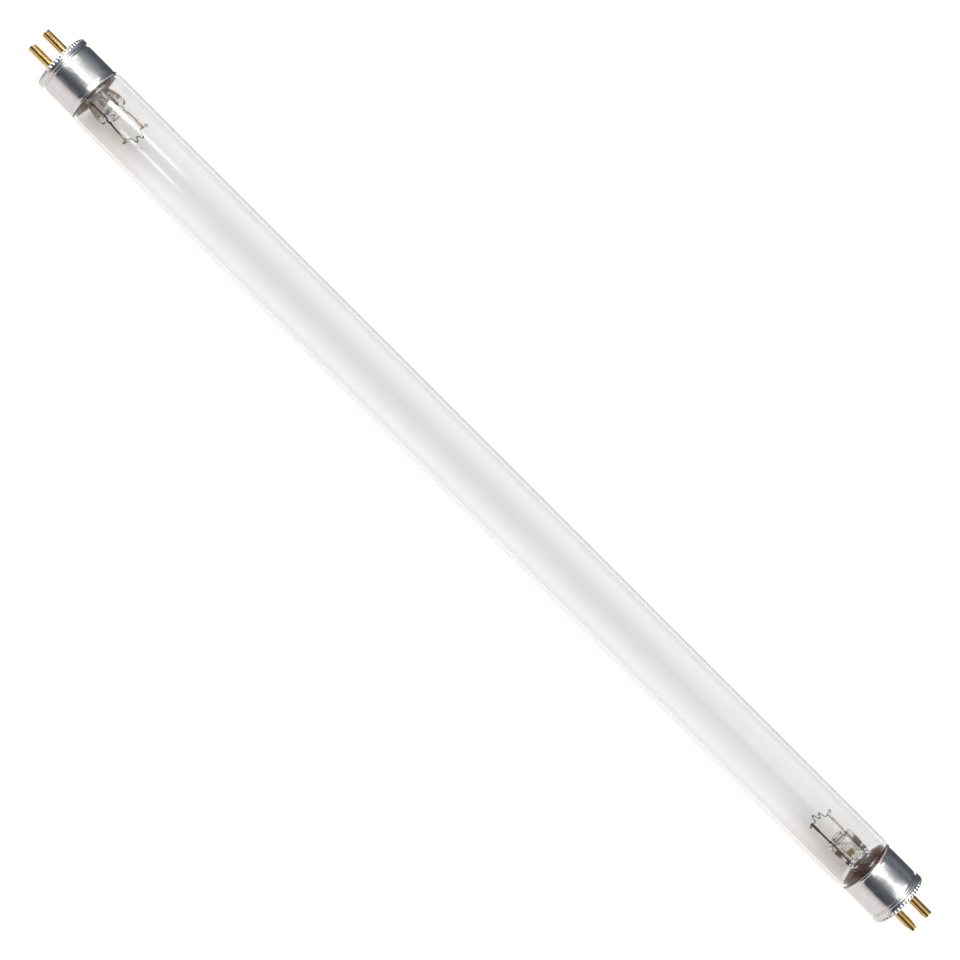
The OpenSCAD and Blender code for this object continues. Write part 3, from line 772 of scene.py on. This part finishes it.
def pin_profile():
    back = BOSS_Z - FUSED_GAP - FLANGE_T
    collar = DISC_TOP + FUSED_GAP
    profile = [(PIN_BORE_R, back), (FLANGE_R - 0.1, back), (FLANGE_R, back + 0.1),
               (FLANGE_R, back + FLANGE_T - 0.05), (FLANGE_R - 0.05, back + FLANGE_T),
               (SHANK_R, back + FLANGE_T), (SHANK_R, collar), (COLLAR_R - 0.05, collar),
               (COLLAR_R, collar + 0.05), (COLLAR_R, collar + COLLAR_T - 0.08),
               (COLLAR_R - 0.08, collar + COLLAR_T), (PIN_R, collar + COLLAR_T)]
    profile += [(PIN_R, z) for z in steps(collar + COLLAR_T, TIP_Z - TIP_BEVEL, 40)[1:-1]]
    profile += arc(PIN_R - TIP_BEVEL, TIP_Z - TIP_BEVEL, TIP_BEVEL, 0, 90, 8)
    profile += [(r, TIP_Z) for r in steps(PIN_R - TIP_BEVEL, TIP_BORE_R + 0.05, 6)[1:]]
    profile += [(TIP_BORE_R, TIP_Z - 0.05), (TIP_BORE_R, TIP_Z - TIP_LEN),
                (PIN_BORE_R, TIP_Z - TIP_LEN - 0.3)]
    return profile


def slanted(x, y, z, side):
    """The tip cut off slanting, on the side of the other pin."""
    limit = TIP_Z - SLANT_CUT + (PIN_R + side * y)
    return x, y, min(z, limit)


def crimped(x, y, z, side):
    """The tip pressed in from the front and the back."""
    depth = CRIMP_DEPTH * max(0.0, (z - (TIP_Z - TIP_LEN)) / TIP_LEN)
    limit = PIN_R - depth
    return x, max(-limit, min(limit, y)), z


def build_pin(end, side_name):
    side = SIDES[side_name]
    points, faces = turned(pin_profile(), 96)
    tip = {"slanted": slanted, "crimped": crimped}.get(end.front_tip) if side < 0 else None
    if tip:
        points = [tip(x, y, z, side) for x, y, z in points]
    node = f"{end.name}_{side_name}_pin"
    mesh_piece(node + "_turned", placed(end, points, side * PIN_PITCH / 2), faces, PIN_BRASS,
               node, 50)


# Stems

def press_half_width(end, z):
    """The stem widens like a fan from its tube to its press."""
    tube_z = end.root_z + FLATTEN_LEN
    return STEM_R + (end.press_w / 2 - STEM_R) * ease((tube_z - z) / (tube_z - end.press_z - 0.8))


def press_half_thickness(end, z, y):
    """Flat on both sides, with a round spine over the exhaust tube."""
    flatness = ease((end.root_z + FLATTEN_LEN - z) / (FLATTEN_LEN + 0.6))
    spine = math.sqrt(max(0.0, (EXHAUST_R + SPINE_WALL) ** 2 - y * y))
    half = PRESS_T / 2
    flat = half + 0.5 * ((spine - half) + math.sqrt((spine - half) ** 2 + 0.05))
    return STEM_R + (flat - STEM_R) * flatness, flatness


def stem_row(end, z, shrink, count):
    """One cross-section of the stem's outside. shrink from 0 to 1 rounds off its inner end."""
    row = []
    wide = press_half_width(end, z) - shrink * PRESS_T / 2
    for k in range(count):
        a = 2 * math.pi * k / count
        c, s = math.cos(a), math.sin(a)
        half, flatness = press_half_thickness(end, z, wide * s)
        power = 1.0 - 0.35 * flatness
        y = wide * math.copysign(abs(s) ** power, s)
        half, flatness = press_half_thickness(end, z, y)
        x = half * math.copysign(abs(c) ** power, c) * (1.0 - shrink)
        lobe = ease((abs(y) - 2.35) / 0.9) * end.lobe_reach
        near_end = ease((end.press_z + 2.2 - z) / 2.2)
        row.append((x, y, z - lobe * near_end))
    return row


def build_stem(end):
    """The stem as one piece of glass: press, stem tube, trumpet and flange."""
    count = 128
    tube_z = end.root_z + FLATTEN_LEN
    flange_in = NECK_R - TUBE_WALL - STEM_OFFSET - 0.1
    flange_out = NECK_R - STEM_OFFSET - 0.05
    rows = []
    for a in steps(90, 0, 12):
        drop = 1 - math.sin(math.radians(a))
        rows.append(stem_row(end, end.press_z + 0.9 * drop, 1 - math.cos(math.radians(a)), count))
    rows += [stem_row(end, z, 0.0, count) for z in steps(end.press_z + 0.9, tube_z, 40)[1:]]
    reach = flange_in - STEM_R
    profile = [(STEM_R, z) for z in steps(tube_z, NECK_Z - FLARE_LEN, 6)[1:-1]]
    for a in steps(0, 90, 24):
        c, s = math.cos(math.radians(a)), math.sin(math.radians(a))
        profile.append((STEM_R + reach * (1 - c), NECK_Z - FLARE_LEN * (1 - s) + FUSED_GAP))
    profile += [(flange_out, NECK_Z + FUSED_GAP), (flange_out, NECK_Z + STEM_WALL)]
    for a in steps(90, 0, 24):
        c, s = math.cos(math.radians(a)), math.sin(math.radians(a))
        profile.append((STEM_R + reach * (1 - c) - STEM_WALL * c,
                        NECK_Z - FLARE_LEN * (1 - s) + STEM_WALL * s + FUSED_GAP))
    cavity = STEM_R - STEM_WALL
    profile += [(cavity, z) for z in steps(NECK_Z - FLARE_LEN, tube_z, 6)[1:]]
    profile += arc(cavity - 0.6, tube_z - 0.2, 0.6, 0, -90, 6) + [(0, tube_z - 0.8)]
    tube, _ = turned(profile, count)
    quarter = count // 4
    rows = [row[-quarter:] + row[:-quarter] for row in rows]
    points = [p for row in rows for p in row]
    faces = grid_faces(len(rows) + len(profile), count, False)
    points += tube
    node = end.name + "_stem"
    piece = mesh_piece(node + "_pressed", placed(end, points, STEM_OFFSET), faces, STEM_GLASS,
                       node, 60)
    seat_r, bore_r, seat_z = EXHAUST_R + FUSED_GAP, EXHAUST_R - EXHAUST_WALL, end.press_z + MOUTH_SEAT
    bore = [(0, end.press_z - 3), (seat_r, end.press_z - 3), (seat_r, seat_z), (bore_r, seat_z),
            (bore_r, tube_z), (0, tube_z)]
    points, faces = turned(bore, 96)
    cut(piece, placed(end, points, STEM_OFFSET), faces)


def build_exhaust_tube(end):
    """The two stretches of the exhaust tube that stick out of the press it is fused into."""
    mouth = end.press_z - end.mouth_reach
    seat = end.press_z + MOUTH_SEAT - FUSED_GAP
    tip = FACE_Z - EXHAUST_DEPTH - EXHAUST_R
    bore = EXHAUST_R - EXHAUST_WALL
    rim = arc((EXHAUST_R + bore) / 2, mouth + EXHAUST_WALL / 2, EXHAUST_WALL / 2, 180, 360, 10)
    inner = turned(rim + [(EXHAUST_R, seat), (bore, seat)], 96)
    root = end.root_z + FLATTEN_LEN - 0.8 + FUSED_GAP
    profile = [(bore, root), (EXHAUST_R, root)] + arc(0, tip, EXHAUST_R, 0, 90, 10)
    outer = turned(profile + arc(0, tip, bore, 90, 0, 10), 96)
    points, faces = joined(inner, outer)
    node = end.name + "_exhaust_tube"
    mesh_piece(node + "_drawn", placed(end, points, STEM_OFFSET), faces, STEM_GLASS,
               node, 60)


# Leads and cathodes

def lead_y(end, u):
    """Sideways place of a lead at a distance u from its press."""
    drift = (end.clamp_pitch - WIRE_PITCH) / 2 * ease(u / (end.reach - CLAMP_LEN - 1))
    bend = end.kink * bump_at((u - SEAL_OUT - KINK_LEN / 2) / (KINK_LEN / 2))
    return WIRE_PITCH / 2 + drift + bend


def folded_clamp():
    """Middle line of the flattened wire end, folded back round the cathode's leg."""
    half = CLAMP_LAYER / 2
    loop = [(x, z) for x, z in arc(0, 0, EYE_R + half, 200, 520, 28)]
    down = [(-half, z) for z in steps(CLAMP_LEN, EYE_R + half + 0.12, 8)]
    up = [(half, z) for z in steps(EYE_R + half + 0.12, CLAMP_LEN * 0.86, 8)]
    start = [(x, z) for x, z in loop if z < (EYE_R + half) * 0.9]
    return down + start + up


def build_lead(end, side_name):
    side = SIDES[side_name]
    reach = end.reach - side * end.skew / 2
    start = SEAL_OUT + FUSED_GAP
    stop = reach - CLAMP_LEN + CLAMP_W / 2
    stations = [start, start + 0.1] + steps(start + 0.2, stop, 90)
    wire = [(0, side * (lead_y(end, u) if i > 1 else WIRE_PITCH / 2), end.press_z - u)
            for i, u in enumerate(stations)]
    knot_at = end.knots[side_name]
    sizes = [1 + (KNOT_R / LEAD_R - 1) * bump_at((u - knot_at) / (KNOT_LEN / 2)) for u in stations]
    eye_y, eye_z = side * end.clamp_pitch / 2, end.press_z - reach
    strip = [(x, eye_y, eye_z + z) for x, z in folded_clamp()]
    w, t, c = CLAMP_W / 2, CLAMP_LAYER / 2 - 0.004, 0.05
    section = [(-w + c, -t), (w - c, -t), (w, -t + c), (w, t - c), (w - c, t), (-w + c, t),
               (-w, t - c), (-w, -t + c)]
    points, faces = joined(swept(wire, ring(LEAD_R, 20), sizes=sizes), swept(strip, section, (0, 1, 0)))
    node = f"{end.name}_{side_name}_lead"
    mesh_piece(node + "_bent", placed(end, points, STEM_OFFSET), faces, LEAD_NICKEL,
               node, 50)


def loop_point(end, t):
    """The middle line of the small winding: a leg through each clamp and the loops between."""
    span = end.clamp_pitch + CLAMP_W + 2 * LEG_OUT
    coiled = end.clamp_pitch - CLAMP_W - LOOP_D / 2
    s = (t - 0.5) * span / coiled + 0.5
    swell = ease(2 * s * LOOPS) * ease(2 * (1 - s) * LOOPS)
    a = 2 * math.pi * LOOPS * s
    deep = LOOP_D / 2 * swell * (1 - math.cos(a)) + end.bow * bump_at(2 * s - 1)
    return (LOOP_D / 2 * swell * math.sin(a), span * (0.5 - t), -deep + end.skew * (0.5 - ease(s)))


def cathode_line(end):
    """The small winding's middle line: a hooked leg, the loops, and a leg rolled into a knot."""
    span = end.clamp_pitch + CLAMP_W + 2 * LEG_OUT
    margin = (LEG_OUT - HOOK_R - 0.12) / span
    line = [Vector(loop_point(end, t)) for t in steps(margin, 1 - margin, 900)]
    hook = [line[0] + Vector((0, HOOK_R * math.sin(a), HOOK_R * (math.cos(a) - 1)))
            for a in steps(0, math.pi * 1.3, 30)[1:]]
    knot = []
    for a in steps(0, math.pi * 3.5, 60)[1:]:
        r = KNOT_ROLL * (1 - a / (math.pi * 9))
        knot.append(line[-1] + Vector((0.02 * a, -r * math.sin(a), r * (1 - math.cos(a)))))
    return hook[::-1] + line + knot


def evenly(line, spacing):
    """Points along a line at equal distances."""
    out, left = [line[0]], spacing
    for a, b in zip(line, line[1:]):
        length = (b - a).length
        while length >= left:
            a = a + (b - a) * (left / length)
            length -= left
            out.append(a)
            left = spacing
        left -= length
    return out


def build_filament(end):
    per_turn = 16
    centre = evenly(cathode_line(end), COIL_STEP / per_turn)
    path, side = [], Vector((1, 0, 0))
    for i, p in enumerate(centre):
        heading = (centre[min(i + 1, len(centre) - 1)] - centre[max(i - 1, 0)]).normalized()
        side = (side - heading * side.dot(heading)).normalized()
        a = 2 * math.pi * i / per_turn
        path.append(p + COIL_R * (math.cos(a) * side + math.sin(a) * heading.cross(side)))
    points, faces = swept(path, ring(COIL_WIRE_R, 8))
    points = [(x, y, z + end.press_z - end.reach) for x, y, z in points]
    node = end.name + "_filament"
    mesh_piece(node + "_wound", placed(end, points, STEM_OFFSET), faces, COIL_TUNGSTEN,
               node, 60)


def dress_node(name, material):
    """Gives a solid that keeps its own shape its finish."""
    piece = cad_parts[name]
    piece.data.materials.clear()
    piece.data.materials.append(material)


build_glass_tube()
build_mercury_bead()
for end in ENDS:
    build_cap_shell(end)
    build_base_disc(end)
    build_cement(end)
    build_stem(end)
    build_exhaust_tube(end)
    build_filament(end)
    for side_name in SIDES:
        build_pin(end, side_name)
        build_lead(end, side_name)
        dress_node(f"{end.name}_{side_name}_seal", SEAL_WIRE)
        dress_node(f"{end.name}_{side_name}_tail", TAIL_COPPER)


# Studio

CAMERA_PLACE = (-0.0312, 0.0, 0.6288)
CAMERA_LENS = 97.35
CAMERA_SHIFT = (0.0951, -0.0942)
FLOOR_Z = -TUBE_R * MM - 0.00005
ROOM_LIGHT = 0.95
FLOOR_TONE = 0.83
FLOOR_GLOW = 0.505
TENT_R = 0.62
TENT_HALF_LEN = 1.4

# How bright the tent is at each angle from straight up, positive to the back
TENT_TONES = (
    (-90, 0.9), (-79, 0.87), (-69, 0.79), (-60, 0.66), (-54, 0.58), (-52, 0.08), (-44, 0.072),
    (-35, 0.075), (-27, 0.1), (-20, 0.12), (-12, 0.155), (-4, 0.2), (3, 0.31), (11, 0.42),
    (18, 0.56), (24, 1.25), (33, 1.28), (39, 0.98), (43, 0.84), (51, 0.62), (60, 0.44), (69, 0.36),
    (78, 0.3), (89, 0.22))
TENT_BRIGHTEST = 1.3
MIDDLE_TONE = 0.4
SEEN_THROUGH_GLASS = 0.6
DARK_TINT = (0.95, 1.03, 1.16, 1.0)
WARM_TINT = (1.04, 0.965, 0.93, 1.0)
SHEET_NEAR = 0.0095


def add_camera():
    camera = bpy.data.cameras.new("camera")
    camera.sensor_width = 36.0
    camera.lens = CAMERA_LENS
    camera.shift_x, camera.shift_y = CAMERA_SHIFT
    camera.clip_start = 0.01
    camera.clip_end = 20.0
    item = bpy.data.objects.new("camera", camera)
    item.location = CAMERA_PLACE
    item.rotation_euler = (0.0, 0.0, math.radians(45))
    bpy.context.scene.collection.objects.link(item)
    bpy.context.scene.camera = item


def stage_sheet(name, points, faces, material, seen_by_camera=False):
    """Part of the studio. What the camera doesn't see only shows in reflections."""
    mesh = bpy.data.meshes.new(name)
    mesh.from_pydata(points, [], faces)
    sheet = bpy.data.objects.new(name, mesh)
    sheet.data.materials.append(material)
    bpy.context.scene.collection.objects.link(sheet)
    if not seen_by_camera:
        sheet.visible_camera = False
        sheet.visible_diffuse = False
        sheet.visible_transmission = False
        sheet.visible_shadow = False
    return sheet


def stage_material(name):
    material = bpy.data.materials.new(name)
    material.use_nodes = True
    material.node_tree.nodes.clear()
    n = Nodes(material.node_tree)
    return material, n, n.add("ShaderNodeOutputMaterial")


def seen_directly(n):
    """1 for rays of the camera and for those that metal and glass send on."""
    path = n.add("ShaderNodeLightPath").outputs
    either = n.math("MAXIMUM", path["Is Camera Ray"], path["Is Glossy Ray"])
    return n.math("MAXIMUM", either, path["Is Transmission Ray"])


def make_floor():
    material, n, leave = stage_material("white_table")
    paper = n.add("ShaderNodeBsdfDiffuse", inputs={"Color": (FLOOR_TONE, FLOOR_TONE, FLOOR_TONE, 1.0)})
    glow = n.add("ShaderNodeEmission", inputs={
        "Color": (1.0, 1.0, 1.0, 1.0), "Strength": n.math("MULTIPLY", seen_directly(n), FLOOR_GLOW)})
    both = n.add("ShaderNodeAddShader")
    n.tree.links.new(paper.outputs[0], both.inputs[0])
    n.tree.links.new(glow.outputs[0], both.inputs[1])
    n.tree.links.new(both.outputs[0], leave.inputs["Surface"])
    half = 3.0
    corners = [(-half, -half, FLOOR_Z), (half, -half, FLOOR_Z), (half, half, FLOOR_Z),
               (-half, half, FLOOR_Z)]
    stage_sheet("table", corners, [(0, 1, 2, 3)], material, True)


def tone_ramp(n, value, low, high, stops):
    """A tone looked up between stops of (place, tone), which run from low to high."""
    node = n.add("ShaderNodeValToRGB")
    ramp = node.color_ramp
    ramp.interpolation = "LINEAR"
    peak = max(tone for _, tone in stops)
    while len(ramp.elements) < len(stops):
        ramp.elements.new(0.5)
    for element, (place, tone) in zip(ramp.elements, stops):
        element.position = (place - low) / (high - low)
    for element, (place, tone) in zip(ramp.elements, stops):
        element.color = (tone / peak, tone / peak, tone / peak, 1.0)
    span = n.add("ShaderNodeMapRange", inputs={
        "Value": value, "From Min": low, "From Max": high, "To Min": 0.0, "To Max": 1.0})
    n.feed(node, "Fac", span.outputs["Result"])
    return n.math("MULTIPLY", node.outputs["Color"], peak)


def make_tent():
    """A light tent round the lamp, toned by angle, with a lit window and two flared panels.

    Its thin cloth lets the room's light through, so to matt surfaces it is as bright as the room."""
    material, n, leave = stage_material("tent_panels")
    coord = n.add("ShaderNodeTexCoord")
    parts = n.add("ShaderNodeSeparateXYZ", inputs={"Vector": coord.outputs["Object"]}).outputs
    angle = n.math("DEGREES", n.math("ARCTAN2", parts["Y"], parts["Z"]))
    by_pins = n.math("MULTIPLY", n.span(parts["X"], -0.2535, -0.2555), n.span(parts["X"], -0.274, -0.27))
    shifted = n.math("SUBTRACT", angle, n.math("MULTIPLY", by_pins, 15.0))
    tone = tone_ramp(n, shifted, -90.0, 90.0, TENT_TONES)
    away = n.math("ABSOLUTE", parts["X"])
    calm = n.math("MULTIPLY", n.span(angle, -53.0, -50.0), n.span(away, 0.21, 0.12))
    tone = n.math("SUBTRACT", tone, n.math("MULTIPLY", calm, n.math(
        "MAXIMUM", n.math("SUBTRACT", tone, MIDDLE_TONE), 0.0)))
    shade = n.math("MULTIPLY", n.span(parts["X"], 0.15, 0.28), n.span(angle, 24.0, 36.0))
    tone = n.math("MULTIPLY", tone, n.math("SUBTRACT", 1.0, n.math("MULTIPLY", shade, 0.42)))
    near_cap = n.span(parts["X"], -0.195, -0.225)
    window = n.math("MULTIPLY", n.span(parts["X"], -0.166, -0.184), n.span(parts["X"], -0.2415, -0.2375))
    low = n.math("SUBTRACT", angle, n.math("MULTIPLY", near_cap, -6.0))
    window = n.math("MULTIPLY", window, n.math("MULTIPLY", n.span(low, 18.0, 20.5),
                                               n.span(angle, 31.0, 28.0)))
    at_mouth = n.math("MULTIPLY", n.span(parts["X"], -0.224, -0.231), 3.0)
    window = n.math("MULTIPLY", window, n.math(
        "ADD", n.math("ADD", n.math("MULTIPLY", near_cap, 1.2), 1.0), at_mouth))
    flare = n.math("MAXIMUM", n.span(parts["X"], -0.268, -0.31), n.span(parts["X"], 0.33, 0.372))
    centre = n.math("ADD", n.math("MULTIPLY", flare, 5.0), 26.0)
    half = n.math("ADD", n.math("MULTIPLY", flare, 29.0), 5.0)
    off = n.math("ABSOLUTE", n.math("SUBTRACT", angle, centre))
    panel = n.math("MULTIPLY", n.span(n.math("SUBTRACT", off, half), 6.0, -4.0),
                   n.span(flare, 0.0, 0.25))
    total = n.math("MAXIMUM", tone, n.math("MULTIPLY", panel, TENT_BRIGHTEST))
    end_window = n.math("MULTIPLY", n.span(away, 0.365, 0.4), n.math(
        "MULTIPLY", n.span(angle, 11.0, 16.0), n.span(angle, 46.0, 38.0)))
    window = n.math("ADD", window, n.math("MULTIPLY", end_window, 1.2))
    total = n.math("ADD", total, n.math("MULTIPLY", window, 4.2))
    through = n.add("ShaderNodeLightPath").outputs["Is Transmission Ray"]
    total = n.math("MAXIMUM", total, n.math("MULTIPLY", through, SEEN_THROUGH_GLASS))
    warm = n.math("MULTIPLY", n.span(angle, -52.0, -53.5), n.span(angle, -100.0, -62.0, 0.6, 1.0))
    tint = n.mix(warm, n.mix(n.span(total, 0.05, 0.4), DARK_TINT, (1, 1, 1, 1)), WARM_TINT)
    matt = n.add("ShaderNodeLightPath").outputs["Diffuse Depth"]
    matt = n.math("MINIMUM", matt, 1.0)
    total = n.math("ADD", n.math("MULTIPLY", total, n.math("SUBTRACT", 1.0, matt)),
                   n.math("MULTIPLY", matt, ROOM_LIGHT))
    glow = n.add("ShaderNodeEmission", inputs={"Color": tint, "Strength": total})
    n.tree.links.new(glow.outputs[0], leave.inputs["Surface"])
    count = 64
    points = []
    for x in (-TENT_HALF_LEN, TENT_HALF_LEN):
        for a in steps(-90, 90, count):
            points.append((x, TENT_R * math.sin(math.radians(a)), TENT_R * math.cos(math.radians(a)) + FLOOR_Z))
    row = count + 1
    faces = [(k, k + 1, row + k + 1, row + k) for k in range(count)]
    stage_sheet("tent", points, faces, material).visible_transmission = True


# How bright the two sheets on the table are at each distance from the lamp, in metres
BLACK_SHEET_TONES = ((0.0, 0.085), (0.0208, 0.1), (0.0342, 0.13), (0.0769, 0.19), (0.3, 0.24), (0.6, 0.26))
GREY_SHEET_TONES = ((0.0, 0.89), (0.02, 0.88), (0.1, 0.86), (0.6, 0.84))


def make_floor_sheets():
    """A black sheet behind the lamp and a pale one in front of it, seen only in reflections."""
    for name, tint, tones, side in (("black_sheet", DARK_TINT, BLACK_SHEET_TONES, 1),
                                    ("pale_sheet", (1.0, 0.955, 0.925, 1), GREY_SHEET_TONES, -1)):
        material, n, leave = stage_material(name)
        coord = n.add("ShaderNodeTexCoord")
        parts = n.add("ShaderNodeSeparateXYZ", inputs={"Vector": coord.outputs["Object"]}).outputs
        away = n.math("ABSOLUTE", parts["Y"])
        glow = n.add("ShaderNodeEmission", inputs={
            "Color": tint, "Strength": tone_ramp(n, away, 0.0, 0.6, tones)})
        n.tree.links.new(glow.outputs[0], leave.inputs["Surface"])
        z, x = FLOOR_Z + 0.0002, TENT_HALF_LEN
        near, far = side * SHEET_NEAR, side * TENT_R
        corners = [(-x, near, z), (x, near, z), (x, far, z), (-x, far, z)]
        stage_sheet(name, corners, [(0, 1, 2, 3)], material)


def light_the_room():
    world = bpy.data.worlds.new("room")
    world.use_nodes = True
    back = world.node_tree.nodes["Background"]
    back.inputs["Color"].default_value = (1.0, 1.0, 1.0, 1.0)
    back.inputs["Strength"].default_value = ROOM_LIGHT
    bpy.context.scene.world = world


add_camera()
make_floor()
make_tent()
make_floor_sheets()
light_the_room()
bpy.context.scene.view_settings.view_transform = "Standard"
